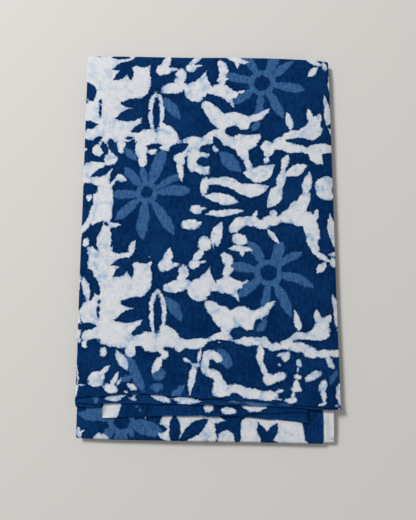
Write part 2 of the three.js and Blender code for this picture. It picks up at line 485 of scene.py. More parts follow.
# Along each ply's end, the longer threads where it frays most
LONG_THREADS = {
    # x, radius, length, sideways, rise, whether undyed
    "outer_upper": (
        (136.2, 0.16, 2.4, 1.4, 0.2, True), (137.0, 0.15, 1.6, 1.9, 0.3, True),
        (136.6, 0.15, 2.0, -0.5, 0.2, True),
    ),
    "inner_upper": (),
    "inner_lower": (
        (101.6, 0.16, 5.5, 0.9, 0.3, False), (102.5, 0.22, 9.0, 1.6, 0.3, False),
        (103.2, 0.25, 10.5, 2.3, 0.2, False), (103.6, 0.2, 8.0, 3.6, 0.0, False),
        (103.4, 0.16, 6.5, 4.4, -0.2, False), (103.7, 0.18, 11.5, 3.1, -0.2, False),
        (-64.6, 0.18, 1.8, -0.9, 0.3, True), (-65.2, 0.18, 1.5, 0.9, 0.4, True),
        (-65.0, 0.15, 2.2, 0.1, 0.1, True),
    ),
    "outer_lower": (
        (101.8, 0.16, 2.6, 1.0, 0.2, False), (103.0, 0.2, 3.6, 1.8, 0.2, False),
        (103.6, 0.16, 2.2, 2.4, 0.1, False),
    ),
}
UNDYED_PLACE = (-106.0, 178.0, 0.0)  # in the print


def cut_end(ply, right, wrong, across, along):
    """Points along one ply's cut end, from left to right: their places, and their places in the print"""
    columns = np.concatenate([[stretch == ply] * len(steps) for stretch, steps, *_ in SECTION])
    ends = (right[-1, columns] + wrong[-1, columns]) / 2
    places = np.stack([across[-1, columns], along[-1, columns], 0 * across[-1, columns]], 1)
    order = np.argsort(ends[:, 0])
    return ends[order], places[order]


def thread_tube(path, radius):
    """Points and faces of a closed four-sided tube along a path"""
    ahead = np.gradient(path, axis=0)
    ahead /= np.linalg.norm(ahead, axis=1, keepdims=True)
    side = np.cross(ahead, (0, 0, 1))
    side /= np.linalg.norm(side, axis=1, keepdims=True)
    up = np.cross(side, ahead)
    ring = np.stack([side, up, -side, -up], 1) * radius
    count = len(path)
    index = np.arange(count * 4).reshape(count, 4)
    after = np.roll(index, -1, axis=1)
    walls = np.stack([index[:-1], index[1:], after[1:], after[:-1]], -1).reshape(-1, 4)
    return (path[:, None] + ring).reshape(-1, 3), np.concatenate([walls, index[:1], index[-1:, ::-1]])


def make_threads(right, wrong, across, along):
    uneven = np.random.default_rng(THREAD_SEED)
    points, faces, places = [], [], []
    count = 0
    for ply, long_threads in LONG_THREADS.items():
        ends, print_places = cut_end(ply, right, wrong, across, along)
        x = ends[0, 0] + THREAD_SPACING
        rows = list(long_threads)
        while x < ends[-1, 0] - THREAD_SPACING:
            length = uneven.uniform(*THREAD_LENGTHS)
            sideways = uneven.uniform(*THREAD_LEANS) * length
            rows.append((x, THREAD_RADIUS, length, sideways, uneven.uniform(*THREAD_RISES), False))
            x += THREAD_SPACING * uneven.uniform(*THREAD_GAPS)
        for x, radius, length, sideways, rise, undyed in rows:
            root = [np.interp(x, ends[:, 0], ends[:, k]) for k in range(3)]
            t = np.linspace(0, 1, THREAD_RINGS)
            path = np.stack([
                root[0] + sideways * t ** 2,
                root[1] + THREAD_ROOT - (THREAD_ROOT + length) * t,
                root[2] + rise * t ** 2,
            ], 1)
            tube, walls = thread_tube(path, radius)
            own = [np.interp(x, ends[:, 0], print_places[:, k]) for k in range(3)]
            points.append(tube)
            faces.append(walls + count)
            places.append(np.tile(UNDYED_PLACE if undyed else own, (len(tube), 1)))
            count += len(tube)
    return object_from("cut_threads", np.concatenate(points), np.concatenate(faces), np.concatenate(places))


# ------------------------------
# The block print, charted in millimetres: X across the print, Y along it, angles in degrees from X.
# The cloth was dyed navy round the undyed shapes, and navy marks lie on those.

REPEAT_ACROSS = 280.0
REPEAT_ALONG = 215.0


def leaf(x, y, half_length, half_width, angle=0, bend=0):
    """A leaf pointed at both ends. Bent, its ends lie that much below its middle, before it is turned."""
    return "leaf", x, y, half_length, half_width, angle, bend


def dot(x, y, half_length, half_width, angle=0):
    """An oval"""
    return "dot", x, y, half_length, half_width, angle, 0


UNDYED = (
    # open ground at the upper left
    dot(-106, 178, 34, 36), dot(-104, 140, 26, 30), dot(-77, 184, 13, 21), dot(-127, 197, 14, 15),
    dot(-134, 210, 9, 7), leaf(-70, 199, 9, 5, 70), leaf(-83, 198, 9, 4, 100), leaf(-92, 209, 12, 3.5, 20),
    dot(-131, 146, 11, 13), dot(-129, 121, 9, 8), leaf(-80, 136, 15, 5, 28),
    # river under it
    dot(-110, 121, 28, 9), dot(-82, 119, 24, 8), dot(-56, 115, 26, 11, -8), leaf(-50, 108, 12, 6, -50),
    dot(-16, 109, 14, 9), dot(8, 118, 20, 7, 22), dot(38, 112, 17, 10.5), dot(48, 116, 11, 8, 20),
    dot(20, 113, 12, 6, -10), dot(38, 101, 13, 6.5, -60), dot(-58, 147, 23.5, 10, 90),
    leaf(-44, 124, 16, 6, -40),
    # drops that hang from it
    dot(-122, 102, 7, 7), leaf(-118, 109, 8, 2.5, -55), dot(-108, 91.5, 8, 7.5),
    leaf(-111, 103, 13, 3, -70), dot(-96, 106, 5.5, 8), dot(-74, 103, 7, 11), dot(-72, 90, 5.5, 7),
    dot(-62, 100, 6, 3.5, 5), dot(-32, 91, 7, 5, -40), leaf(-31, 80, 16, 4, -80), leaf(-27, 100, 12, 5, 60),
    dot(-16, 92, 15, 8, 85), dot(-8, 80, 11, 5, -25), dot(-6, 96.5, 8, 3.4, -4),
    dot(8, 103.5, 4.6, 3.6, -60), leaf(-2, 82, 5, 2.5, 15),
    # clouds at the top
    dot(-50, 196, 8.5, 8), leaf(-47, 205, 10, 5, 65), dot(-40, 197, 5, 2.5), dot(-31, 185, 13, 7, 88),
    dot(-39, 174, 14, 6.6, 8), dot(-26, 176, 5, 3.5, 90), dot(-19, 198, 7, 5.5, 10),
    leaf(-14, 207, 9, 4, 30), leaf(-11, 200, 6, 2, 12), dot(-14, 170, 13, 12, -25),
    leaf(-5, 182, 20, 8, 68), dot(4, 173, 10, 6), dot(16, 199, 10, 6, -62), dot(16, 185, 10, 4.6, 90),
    leaf(17, 184, 7, 3.5, 10), dot(17, 169, 14, 8.5, -25), dot(29, 167, 4.5, 4.5),
    leaf(36, 169.5, 6, 2, 18), leaf(24, 158, 9, 4, -50), leaf(33, 208, 14, 4, -12),
    leaf(33, 203, 6, 3, -85),
    # second river, from the first cloud to the flower
    dot(1, 150, 11, 7, -50), dot(10, 141, 14, 9.5, -52), dot(18, 133, 16, 9.5, -62), dot(28, 139, 14, 8),
    dot(39, 134, 10, 8.5), dot(52, 139, 11, 4.5, 12), leaf(62, 145, 9, 3.5, 35),
    # leaves right of the first flower
    leaf(91, 135.5, 11, 4.2, -76), leaf(119, 194, 8.5, 4.4, 50), leaf(119, 206, 12, 3.5, -28),
    dot(132, 200, 6, 3.5, -75), leaf(134, 208, 8, 2.5), leaf(139, 178, 14, 3.5, 90),
    leaf(135.3, 141, 27, 4.8, -80), dot(112, 121, 17, 9, 25), dot(116.5, 129, 14, 8.2, 60),
    leaf(113, 141, 9, 4, 100), leaf(124, 138, 7, 4, 70), dot(93, 119, 11, 6, 15), dot(80, 111, 10, 6.5, 25),
    leaf(90, 106, 22, 6.8, -8), leaf(124, 103, 24, 6.5, 3), leaf(119, 95, 12, 7, -42),
    # swirl under the second river
    dot(66, 104, 8.5, 9), dot(65, 90, 3.6, 3.6), leaf(66, 95, 5, 2, 90), leaf(57, 77, 19, 9.5, 14, -7),
    dot(45, 86, 9, 4.5, -75),
    # slim crescents in the middle
    leaf(46, 58, 22, 8, 0, -4), leaf(24, 64, 21, 6, -18, 2), dot(6, 67, 10, 4, 3), dot(-4, 61, 11, 4.6, 85),
    leaf(15, 47, 20, 6.6, -12), dot(-13, 35, 7, 6), leaf(-6, 36, 5, 2, 15), leaf(19, 31.5, 23, 4.4, 6),
    dot(5, 31, 5, 3.4), dot(-19, 18, 10.5, 6), leaf(-10, 19, 5, 2.5, 25), leaf(9, 9, 15, 6, 62),
    dot(-6, 1, 8, 6, 20),
    # third river
    dot(32, 18, 11, 6.5, 42), dot(44, 21, 13, 6, 8), leaf(52, 28, 7, 3, 70), dot(57, 18, 10, 5, -10),
    dot(70, 23, 12, 6, 15), dot(72, 31, 5, 4.5), dot(92, 29, 15, 8.5, 22), dot(104, 43, 13, 7, 65),
    dot(97, 37, 10, 8, 40), leaf(109, 64, 14, 5.5, 78), dot(108, 66, 8, 4.5, 60),
    dot(112, 16, 15, 8.5, -70), dot(104, 25, 13, 8, 20), leaf(118, 29, 9, 3.5, 75), dot(33, 3, 9, 6.5),
    leaf(70, 6, 10, 3.5, -50), dot(112, 1, 8, 6, -60),
    # leaves at the lower right
    leaf(73, 50, 15, 8, 60), leaf(80, 68, 18, 5, 76), leaf(85, 88, 11, 4.5, 72),
    leaf(97, 79, 14.5, 6.2, 24), dot(131, 59, 14, 13.5), leaf(137, 17, 22, 7, 88),
    # left column
    dot(-126, 80, 14, 9), dot(-132, 72, 8, 8), leaf(-124, 86, 12, 3.5, 5), dot(-116, 66, 13, 9),
    leaf(-109, 74, 10, 3.5, 70), leaf(-97, 71, 9, 4.2, -24), leaf(-103, 69.5, 7.5, 2.8, 58),
    dot(-115, 47, 12, 21), dot(-118, 30, 13, 16), leaf(-103, 18, 9, 3.2, -4), leaf(-131, 50, 6, 4, 75),
    dot(-113, 10, 8, 12), leaf(-134, 18, 12, 5, 60), leaf(-131, 1, 7, 3.5, 80),
)
NAVY_MARKS = (
    # branch at the top left
    leaf(-92, 201, 17, 4.6, 14), leaf(-97, 191, 11, 4.5, 40), leaf(-87, 191, 8, 3.4, 95),
    leaf(-98, 211, 10, 2.6), leaf(-75, 204, 10, 4.5), leaf(-134, 171, 13.5, 7.5, -66),
    dot(-120.3, 157.5, 1.4, 1.7), dot(-120.5, 150, 2.8, 1.5, 90), dot(-120.8, 144, 2.4, 1.2, 90),
    leaf(-135, 131, 12, 4.2, 5), leaf(-122, 115, 6, 2.6, 20), leaf(-87, 116, 5, 1.3, 10),
    # branch under it
    leaf(-81.5, 157, 16, 6, 6), leaf(-84, 143, 20, 6.8, 14), leaf(-78, 126.5, 8, 3.5, 20),
    dot(-71, 141, 12, 3, 78), dot(-57.5, 144.5, 18.5, 3.9, 90), dot(-96, 157, 1.6, 1.6),
    # leaves along the river
    leaf(-114, 104, 8, 3.6, -72), leaf(-105, 105, 11, 4.2, -66), leaf(-87, 106, 11, 4.5, 55),
    leaf(-60, 106.5, 9, 3, 2), leaf(-33, 103, 13, 5.2, 24), dot(-2, 103.5, 5.5, 4.2, -10),
    dot(-6, 89, 6, 4, -5), leaf(11.5, 110, 9, 4.4, -54), dot(27, 124, 7.5, 6), leaf(43, 123, 17, 3),
    dot(54, 96, 8, 10), leaf(103, 112.2, 17, 3.2, -3), dot(49, 130, 4.5, 3.5, 60),
    # trunks between the clouds
    leaf(-14, 189.5, 16, 5, 34), leaf(5, 196, 20, 6.4, 90), leaf(13, 156.5, 20, 5, -24, 2),
    dot(-45, 187, 9, 4, 5),
    # left column
    leaf(-116, 79, 14, 4.2, 28), dot(-131, 58, 10, 6), leaf(-138, 34, 18, 8, 90), leaf(-105, 74, 10, 3, 68),
    leaf(-124, 10, 15, 6, 50), dot(-111, 19, 2, 1.3, -20),
    # below the third river
    leaf(46, 11, 13, 5, -4), dot(140, 56, 3, 4.5),
)
# x, y, radius of its ring, and its petals: (angle, length, half width)
FLOWERS = (
    (61, 180, 12, (
        (36, 45, 4.1), (63, 41, 5.8), (-9, 49, 5.3), (-60, 48, 4.9), (-96, 42, 4.4), (-143, 42, 4.7),
        (168, 44, 5), (118, 43, 5),
    )),
    (-67, 54, 9.6, (
        (69, 52, 6.4), (27, 47, 3.7), (3, 48, 5.2), (-57, 54, 5.8), (-97, 50, 6.2), (-139, 46, 5.2),
        (-176, 38, 5.2), (132, 37, 4.8), (101, 30, 4.2),
    )),
)
BLUE_LEAVES = (
    leaf(-40, 150, 16, 5.6, -56), leaf(24, 89, 16.5, 7.6, -42), leaf(53, 130, 7.5, 3.2, 45),
    leaf(-86, 98, 11, 4.2, -48),
)
PETAL_START = 8.5
RING_HALF_WIDTH = 2.9

# The second row of blocks landed a little beside the repeat, but its flower landed higher.
SECOND_ROW_SHIFT = (4.0, -8.0)
SECOND_FLOWER = (60.0, -40.0)
SECOND_FLOWER_RISE = 8.5
SECOND_FLOWER_REACH = (28.0, 64.0)
SECOND_ROW_ENTERS = (15.0, -20.0)  # places along, between which it moves to there
SECOND_ROW_LEAVES = 20.0  # how far from the next row it starts to move back

# Where the second row's left blocks came out differently: ink outside the repeat's, and ground left open
SECOND_NAVY = (
    dot(-134.5, -21, 17, 5.2, 90), leaf(-128, -37, 9, 4.5, -60), leaf(-122, -48, 12, 5, -66),
    leaf(-137.5, -62, 14, 4.5, 82), dot(-97, -6, 7, 4),
)
SECOND_UNDYED = (
    leaf(-131, -51, 14, 4.8, -74), dot(-132.5, -1, 5.5, 3.8, 85), dot(-113, -1, 13, 8, 86),
    leaf(-82, -6, 8.5, 3.4, 72), dot(-90, -15.5, 8, 3.4, 14), leaf(-126, -12, 6, 3.5, 20),
)

# The last blocks before the cut end, on the outermost ply
LAST_ROW = -106.0
LAST_ROW_SEAM = 3  # how far to each side of its line it blends in
LAST_UNDYED = (
    # river's lower bank
    dot(-136, -102, 7, 4.5, 60), dot(-131, -110, 5, 3.6, 90), dot(-90, -101, 30, 13),
    dot(-81.5, -117, 8, 5.5, 90), dot(-72, -103, 12, 10), dot(-59, -107, 14, 12.5), dot(-50, -117, 3, 3),
    dot(-46, -121, 4.6, 5.2), leaf(-54, -131.5, 11, 4.5, 62), dot(-35, -103, 20, 11), dot(-30, -112, 6, 6),
    dot(-12, -107, 14, 8, 12), dot(10, -99, 18, 5.5, 5), dot(43, -106, 17, 6, -2), dot(61, -108, 7, 5, -60),
    dot(71, -113.5, 8, 4.8, 5), dot(83, -109, 8, 6, 35), dot(95, -113, 14, 5, -5),
    dot(108, -119, 9, 6, -25), dot(122, -121, 10, 5), dot(136, -120, 8, 4.5, 5), dot(112, -101, 14, 4.5, 3),
    leaf(55, -121, 13, 4.8, 88), dot(13, -108.5, 1.8, 0.9),
    # drops and the twig
    dot(-111, -118.5, 5.5, 4.2, 90), leaf(-91, -127, 13.5, 5.6, -60), leaf(-22, -127.5, 7.5, 2, -32),
    leaf(-17, -146, 17, 4, 82), dot(-15, -139, 6, 3.4, 60), dot(-12, -131.5, 5, 2.2),
    leaf(-9.5, -122, 9, 2.2, 80),
    # hook and its long foot
    dot(2, -121, 8.5, 5), dot(10, -125, 6.5, 4.6, -35), dot(-3, -130, 11, 4.6, 85), dot(2, -140, 7, 4, -45),
    dot(9, -144, 10, 5, -50), dot(13, -153, 8, 7, -20), dot(15, -159, 11, 6), dot(30, -156.5, 14, 5, -8),
    dot(45, -161, 14, 6, -5), dot(62, -163.5, 13, 5.6, 2), leaf(75, -158.5, 5, 2, 5),
    leaf(74, -166.5, 5, 1.3),
    # boat and the chain of buds
    dot(64, -146.5, 7, 6.5, -10), dot(74, -145, 10, 5, 22), leaf(59, -137, 10, 4, 105),
    dot(82.5, -123.5, 6.5, 4.2, 65), leaf(77, -121.5, 5.5, 2.2, 25), dot(75.5, -132.5, 2.3, 1.5, -50),
    dot(96.5, -129.5, 4.4, 3.4, 90), dot(94.5, -136.5, 3.5, 1.2, 90), dot(94, -143.5, 4.2, 3.2),
    dot(93, -148.5, 2.5, 1.2, 90), leaf(92, -153, 6, 4, 90), dot(92, -157.5, 6.5, 3.4),
    leaf(88.5, -163.5, 5, 2.5, 70), dot(87, -168.5, 7, 3.2),
    # right corner
    dot(110, -143.5, 11, 4, 26), dot(121, -153.5, 7.5, 4.5, 65), leaf(121, -163, 11, 3.2, 88),
    leaf(118.5, -172, 6, 1.8, 5), dot(130, -130, 7.5, 3.8, -60), dot(142, -162, 12, 7.5, 88),
    dot(135, -173.5, 3, 1.6, 20),
    # left corner
    dot(-117, -145.5, 9.5, 7.5, 20), dot(-118, -151, 8, 3.5), leaf(-110, -138.5, 9, 3.6, 40),
    dot(-102, -155.5, 8, 5, -20), leaf(-98, -146.5, 9, 3, 68), leaf(-93.5, -149.5, 5, 1.8, 62),
    dot(-80, -154, 6.5, 3.4, -22), dot(-86, -159, 2.4, 1.4, -20), leaf(-139, -143, 16, 2.4, 88),
    dot(-140, -158, 9, 3.5, 88), leaf(-133, -152.7, 5.5, 1.4),
)
LAST_BLUE = (
    leaf(-77, -139, 23, 5.6, -62), dot(-72, -150, 8, 4, -60), dot(-52, -141, 7, 6.5, 10),
    dot(-54, -155, 6, 4.6), leaf(-31, -158.5, 9, 3.6, 42), leaf(-86, -146, 7, 3, 25),
    dot(17, -126, 11, 7, -55), leaf(132.5, -145, 9, 2.8, 62),
)

# The blocks at the near fold of the pass below, charted as they lie, half a turn from the cloth's own
# directions. A place in this chart and its place in the print add up to TURNED_SUM.
TURNED_SUM = (-276.9, 424.2)
NEAR_ROW = 592.0  # where in the print it starts
NEAR_UNDYED = (
    leaf(-134.5, -204, 7, 3.2, 105), leaf(-131.5, -202.5, 4.5, 1.6, 40), dot(-112, -209, 8.5, 6),
    dot(-22, -197, 31, 17), leaf(6, -186.5, 13, 3.6, -4), dot(-43, -203.5, 9.5, 6), dot(3, -204, 7, 6),
    dot(-44, -188, 5, 5), dot(19, -207, 9, 10), dot(51, -200, 22, 17.5, 90), dot(82, -199, 22, 19, 90),
    dot(68, -192, 30, 9), dot(91, -189, 9, 7), dot(97, -206.5, 7.5, 5), dot(40, -190, 6, 6),
    dot(39, -209, 6, 6),
)
NEAR_MARKS = (
    leaf(-34.5, -196, 13, 5.4, 90), dot(-35, -200, 10, 5.6, 90), leaf(-15.5, -198, 19, 5.6, 38),
    leaf(-50, -197, 7, 4, 3), leaf(56, -199.5, 11, 4.2, 112), leaf(66.5, -199, 12.5, 4.6, 58),
    dot(60, -207, 9, 5.5, 90), leaf(68, -209.5, 9, 2.6, -8), dot(66, -212, 10, 2.6),
)
NEAR_FLOWER = (-91, -191.7, 10.8, (
    (-12, 44, 7.6), (161, 41, 7), (170, 48, 4.6), (-136, 24, 5), (-90, 26, 6.5), (-47, 20, 3), (35, 24, 4),
    (80, 26, 5), (125, 26, 5),
))

LEFT_FOLD = -138.5  # where the outermost ply ends

# Plain navy: a band along each selvedge, from here out, and the inner plies' ends with their own few marks
BANDS = (-381.0, 648.0)
PLAIN_END = -156.0
PLAIN_BESIDE = 141.0
END_UNDYED = (
    leaf(376, -164.5, 12, 3.4, -8), dot(374.5, -166.5, 5, 2.4), dot(355.5, -161.5, 4.4, 2),
    dot(356, -164.5, 3.5, 1.7, 90), dot(358, -167, 4.6, 2, 15), leaf(328.5, -166, 12, 3.8, 20),
    leaf(301, -167.8, 17.5, 3.4, 4), dot(303, -169.5, 7, 2.2), dot(252.5, -168.7, 2.2, 1),
    dot(557, -176.5, 6, 4.4), dot(577.4, -178.6, 9.3, 3.9, -5), leaf(604.5, -174.5, 13.5, 5.6, -5),
    dot(453.6, -179, 9.6, 20, -12), dot(146, 612, 26, 34),
)
END_BLUE = (
    dot(396, -167, 5, 3, 90), leaf(249, -169.6, 7, 1.5), leaf(227, -171.8, 15, 2.3, 3),
    leaf(199, -172.3, 8, 1.5), dot(482, -175.5, 1.7, 1.1, 20), dot(485.5, -179, 1.5, 1.4),
)

JOIN_UNDYED = 2.2  # how softly shapes run together
JOIN_MARKS = 1.5
JOIN_PETALS = 2.4

# Noises that move something: how wide their lumps are, their detail and roughness, and how far they move it
WANDER = (20.0, 0, 0.5, 1.3)
RIPPLE = (6.0, 1, 0.5, 1.0)
RAGGED = (3.2, 1, 0.5, 0.95)
CHIPPED = (1.2, 0, 0.5, 0.5)
BRUSHED = ((3.0, 4.5), 3, 0.7, 1.4)  # the paler blue's edge
DRIFT = (38.0, 1, 0.5, 0.3)  # the wear of the ink

SPREAD = 0.2  # how far the navy crept over the charted edge
NAVY_EDGE = (0.45, -0.45)  # between which distances the ink sets in
BLUE_EDGE = (0.9, -0.9)
PETAL_SWELLING = 0.22  # how much wider a petal is at its outer end than half way
PETAL_FOOT = 0.3  # the least share of its width that the swelling leaves
BEND_OFFSET = 0.4  # by which share of its bend a leaf's middle moves the other way

# Other noises: how wide their lumps or streaks are, their detail and roughness, and the paste's cells
CLOUDS = (9.0, 3, 0.6)
ZONES = (42.0, 1, 0.5)
SPOTS_THROUGH = (4.0, 2, 0.5)
MOTTLE = ((3.0, 7.0), 3, 0.65)
WARP = ((0.9, 9.0), 2, 0.6)
WEFT = ((7.0, 0.9), 2, 0.6)
CRACK_CELLS = (30.0, 42.0)

# Ramps: from, to, and what they give there where that isn't 0 and 1
ZONE_STAIN = (0.45, 0.7, 0.1, 0.6)
NEAR_INK = (7.0, 0.0)
CREPT = (0.38, 0.72)
CRACK_LINES = (0.09, 0.0)
CRACKED_CLOUDS = (0.4, 0.65)
FRINGE = (1.7, 0.3, 0.0, 0.35)
SHOWN_THROUGH = (0.32, 0.64, 0.2, 1.0)
RIM = (1.0, -0.2, 0.0, 0.9)
NAVY_WEAR = (0.3, 0.75)
POOLED = (-2.6, -0.6, 0.0, 0.6)
BLUE_WEAR = (0.25, 0.7)

# Shares with which one thing is added to another
INK_STAIN = 0.6
CRACK_STAIN = 0.6
WRONG_SIDE_WEAR = 0.15
NAVY_THREADS = 0.5
BLUE_THREADS = 0.4
THREAD_SHADE = 0.38

THREAD_BUMP = 0.0002  # metres
BUMP_STRENGTH = 0.5
ROUGHNESS = 0.95
SPECULAR = 0.02

# Colours, linear
UNDYED_WHITE = (0.66, 0.672, 0.7, 1)
STAIN_BLUE = (0.36, 0.47, 0.62, 1)
RIM_BLUE = (0.05, 0.15, 0.34, 1)  # where thin ink reached under the edge of the paste
NAVY = (0.0012, 0.0185, 0.079, 1)
NAVY_WORN = (0.0035, 0.033, 0.122, 1)
NAVY_DEEP = (0.0008, 0.0125, 0.056, 1)
PETAL_BLUE = (0.021, 0.077, 0.205, 1)
PETAL_WORN = (0.044, 0.124, 0.285, 1)


class Shader:
    """Adds nodes to a tree one after another, so that each is made after those that it reads."""

    def __init__(self, tree):
        self.tree = tree

    def add(self, kind, inputs, output=0, **settings):
        node = self.tree.nodes.new("ShaderNode" + kind)
        for name, value in settings.items():
            setattr(node, name, value)
        for key, value in inputs.items():
            if isinstance(value, bpy.types.NodeSocket):
                self.tree.links.new(value, node.inputs[key])
            else:
                node.inputs[key].default_value = value
        return node.outputs[output]

    def math(self, operation, *values):
        return self.add("Math", dict(enumerate(values)), operation=operation)

    def vector(self, operation, *values, output="Vector"):
        return self.add("VectorMath", dict(enumerate(values)), output, operation=operation)

    def dot(self, point, row):
        return self.vector("DOT_PRODUCT", point, row, output="Value")

    def places(self, point):
        """X and Y of the point"""
        return self.dot(point, (1, 0, 0)), self.dot(point, (0, 1, 0))

    def distance(self, point, x, y):
        return self.vector("DISTANCE", point, (x, y, 1), output="Value")

    def scaled(self, point, size):
        """The point, counted in lumps of that size: one number, or one across and one along"""
        across, along = size if isinstance(size, tuple) else (size, size)
        return self.vector("MULTIPLY", point, (1 / across, 1 / along, 0))

    def noise(self, point, size, detail, roughness, output="Fac"):
        inputs = {"Vector": self.scaled(point, size), "Scale": 1.0, "Detail": detail, "Roughness": roughness}
        return self.add("TexNoise", inputs, output, noise_dimensions="2D")

    def ramp(self, value, low, high, to_low=0.0, to_high=1.0):
        inputs = {"Value": value, 1: low, 2: high, 3: to_low, 4: to_high}
        return self.add("MapRange", inputs, "Result", interpolation_type="SMOOTHSTEP")

    def blend(self, factor, first, second):
        """The first colour where factor is 0, the second where it is 1"""
        return self.add("Mix", {0: factor, 6: first, 7: second}, 2, data_type="RGBA")

    def choose(self, factor, first, second):
        """The first number where factor is 0, the second where it is 1"""
        return self.add("Mix", {0: factor, 2: first, 3: second}, 0, data_type="FLOAT")

    def moved_by(self, point, flat, size, detail, roughness, reach):
        """The point, moved by a noise by at most that many millimetres each way"""
        noise = self.noise(flat, size, detail, roughness, "Color")
        shift = self.vector("MULTIPLY_ADD", noise, (2 * reach, 2 * reach, 0), (-reach, -reach, 0))
        return self.vector("ADD", point, shift)

    def uneven(self, value, flat, size, detail, roughness, reach, less=0.0):
        """The value, made at most that much more or less by a noise, and then less by a fixed amount"""
        noise = self.noise(flat, size, detail, roughness)
        return self.math("ADD", value, self.math("MULTIPLY_ADD", noise, 2 * reach, -reach - less))


def shape_group(kind):
    """A node group: millimetres outside a leaf, a petal or a dot, below 0 inside it. The point's third
    number is 1, so that one dot product turns, scales and shifts it."""
    group = bpy.data.node_groups.new(kind, "ShaderNodeTree")
    for name in ("Point", "Along", "Across"):
        group.interface.new_socket(name, in_out="INPUT", socket_type="NodeSocketVector")
    for name in ("Half width", "Bend"):
        group.interface.new_socket(name, in_out="INPUT", socket_type="NodeSocketFloat")
    group.interface.new_socket("Distance", in_out="OUTPUT", socket_type="NodeSocketFloat")
    given = group.nodes.new("NodeGroupInput").outputs
    shader = Shader(group)
    u = shader.dot(given["Point"], given["Along"])
    v = shader.dot(given["Point"], given["Across"])
    square = shader.math("MULTIPLY", u, u)
    if kind == "leaf":
        bent = shader.math("MULTIPLY_ADD", square, given["Bend"], v)
        reach = shader.math("ADD", square, shader.math("ABSOLUTE", bent))
    elif kind == "petal":
        swelling = shader.math("MAXIMUM", shader.math("MULTIPLY_ADD", u, PETAL_SWELLING, 1.0), PETAL_FOOT)
        width = shader.math("DIVIDE", shader.math("ABSOLUTE", v), swelling)
        reach = shader.math("MULTIPLY_ADD", square, shader.math("ABSOLUTE", u), width)
    else:
        reach = shader.math("SQRT", shader.math("MULTIPLY_ADD", v, v, square))
    outside = shader.math("MULTIPLY", shader.math("SUBTRACT", reach, 1.0), given["Half width"])
    group.links.new(outside, group.nodes.new("NodeGroupOutput").inputs["Distance"])
    return group


def shape_distance(shader, point, kind, x, y, half_length, half_width, angle, bend=0):
    turn = math.radians(angle)
    cosine, sine = math.cos(turn), math.sin(turn)
    along = [v / half_length for v in (cosine, sine, -(x * cosine + y * sine))]
    across = [v / half_width for v in (-sine, cosine, x * sine - y * cosine)]
    across[2] -= BEND_OFFSET * bend / half_width
    width = min(half_length, half_width) if kind == "dot" else half_width
    inputs = {"Point": point, "Along": along, "Across": across}
    inputs.update({"Half width": width, "Bend": bend / half_width})
    return shader.add("Group", inputs, node_tree=bpy.data.node_groups[kind])


def copies(x, y, reach):
    """The places of a motif, and of its neighbours in the next repeats, that reach into the one repeat."""
    places = []
    for across in (-1, 0, 1):
        for along in (-1, 0, 1):
            px, py = x + across * REPEAT_ACROSS, y + along * REPEAT_ALONG
            if abs(px) < REPEAT_ACROSS / 2 + reach and -reach < py < REPEAT_ALONG + reach:
                places.append((px, py))
    return places


def union(shader, point, rows, join, repeats=False):
    """Millimetres outside all of these shapes, joined softly"""
    joined = None
    for kind, x, y, half_length, half_width, angle, bend in rows:
        for place in copies(x, y, max(half_length, half_width)) if repeats else [(x, y)]:
            one = shape_distance(shader, point, kind, *place, half_length, half_width, angle, bend)
            joined = one if joined is None else shader.math("SMOOTH_MIN", joined, one, join)
    return joined


def navy_distance(shader, point, undyed, marks, repeats=False):
    """Millimetres outside the navy, which is all round the undyed shapes and in the marks on those"""
    ground = shader.math("MULTIPLY", union(shader, point, undyed, JOIN_UNDYED, repeats), -1.0)
    if not marks:
        return ground
    return shader.math("SMOOTH_MIN", ground, union(shader, point, marks, JOIN_MARKS, repeats), JOIN_MARKS)


def flower_distance(shader, point, x, y, ring_radius, petals):
    """Millimetres outside a flower: petals on a ring round an open middle"""
    radius = shader.distance(point, x, y)
    from_ring = shader.math("ABSOLUTE", shader.math("SUBTRACT", radius, ring_radius))
    flower = shader.math("SUBTRACT", from_ring, RING_HALF_WIDTH)
    for angle, length, half_width in petals:
        turn = math.radians(angle)
        middle = (PETAL_START + length) / 2
        place = x + middle * math.cos(turn), y + middle * math.sin(turn)
        half_length = (length - PETAL_START) / 2
        petal = shape_distance(shader, point, "petal", *place, half_length, half_width, angle)
        flower = shader.math("SMOOTH_MIN", flower, petal, JOIN_PETALS)
    return flower


def second_row_moved(shader, point):
    """The point, moved back by as much as the second of each two rows of blocks landed off its place"""
    two_rows = shader.vector("WRAP", point, (REPEAT_ACROSS / 2, REPEAT_ALONG, 2),
                             (-REPEAT_ACROSS / 2, -REPEAT_ALONG, 0))
    along = shader.dot(two_rows, (0, 1, 0))
    entered = shader.ramp(along, *SECOND_ROW_ENTERS)
    left = shader.ramp(along, -REPEAT_ALONG, -REPEAT_ALONG + SECOND_ROW_LEAVES)
    share = shader.math("MULTIPLY", entered, left)
    from_flower = shader.distance(two_rows, *SECOND_FLOWER)
    rise = shader.ramp(from_flower, *SECOND_FLOWER_REACH, SECOND_FLOWER_RISE, 0.0)
    back = shader.vector("MULTIPLY_ADD", rise, (0, -1, 0), (-SECOND_ROW_SHIFT[0], -SECOND_ROW_SHIFT[1], 0))
    return shader.vector("ADD", point, shader.vector("MULTIPLY", back, share))


def repeat_distances(shader, moved):
    """Distances from the repeating print's navy and from its paler blue"""
    point = shader.vector("WRAP", second_row_moved(shader, moved), (REPEAT_ACROSS / 2, REPEAT_ALONG, 2),
                          (-REPEAT_ACROSS / 2, 0, 0))
    navy = navy_distance(shader, point, UNDYED, NAVY_MARKS, True)
    blue = union(shader, point, BLUE_LEAVES, JOIN_PETALS, True)
    for x, y, ring_radius, petals in FLOWERS:
        for place in copies(x, y, max(length for _, length, _ in petals)):
            flower = flower_distance(shader, point, *place, ring_radius, petals)
            blue = shader.math("MINIMUM", blue, flower)
    return navy, blue


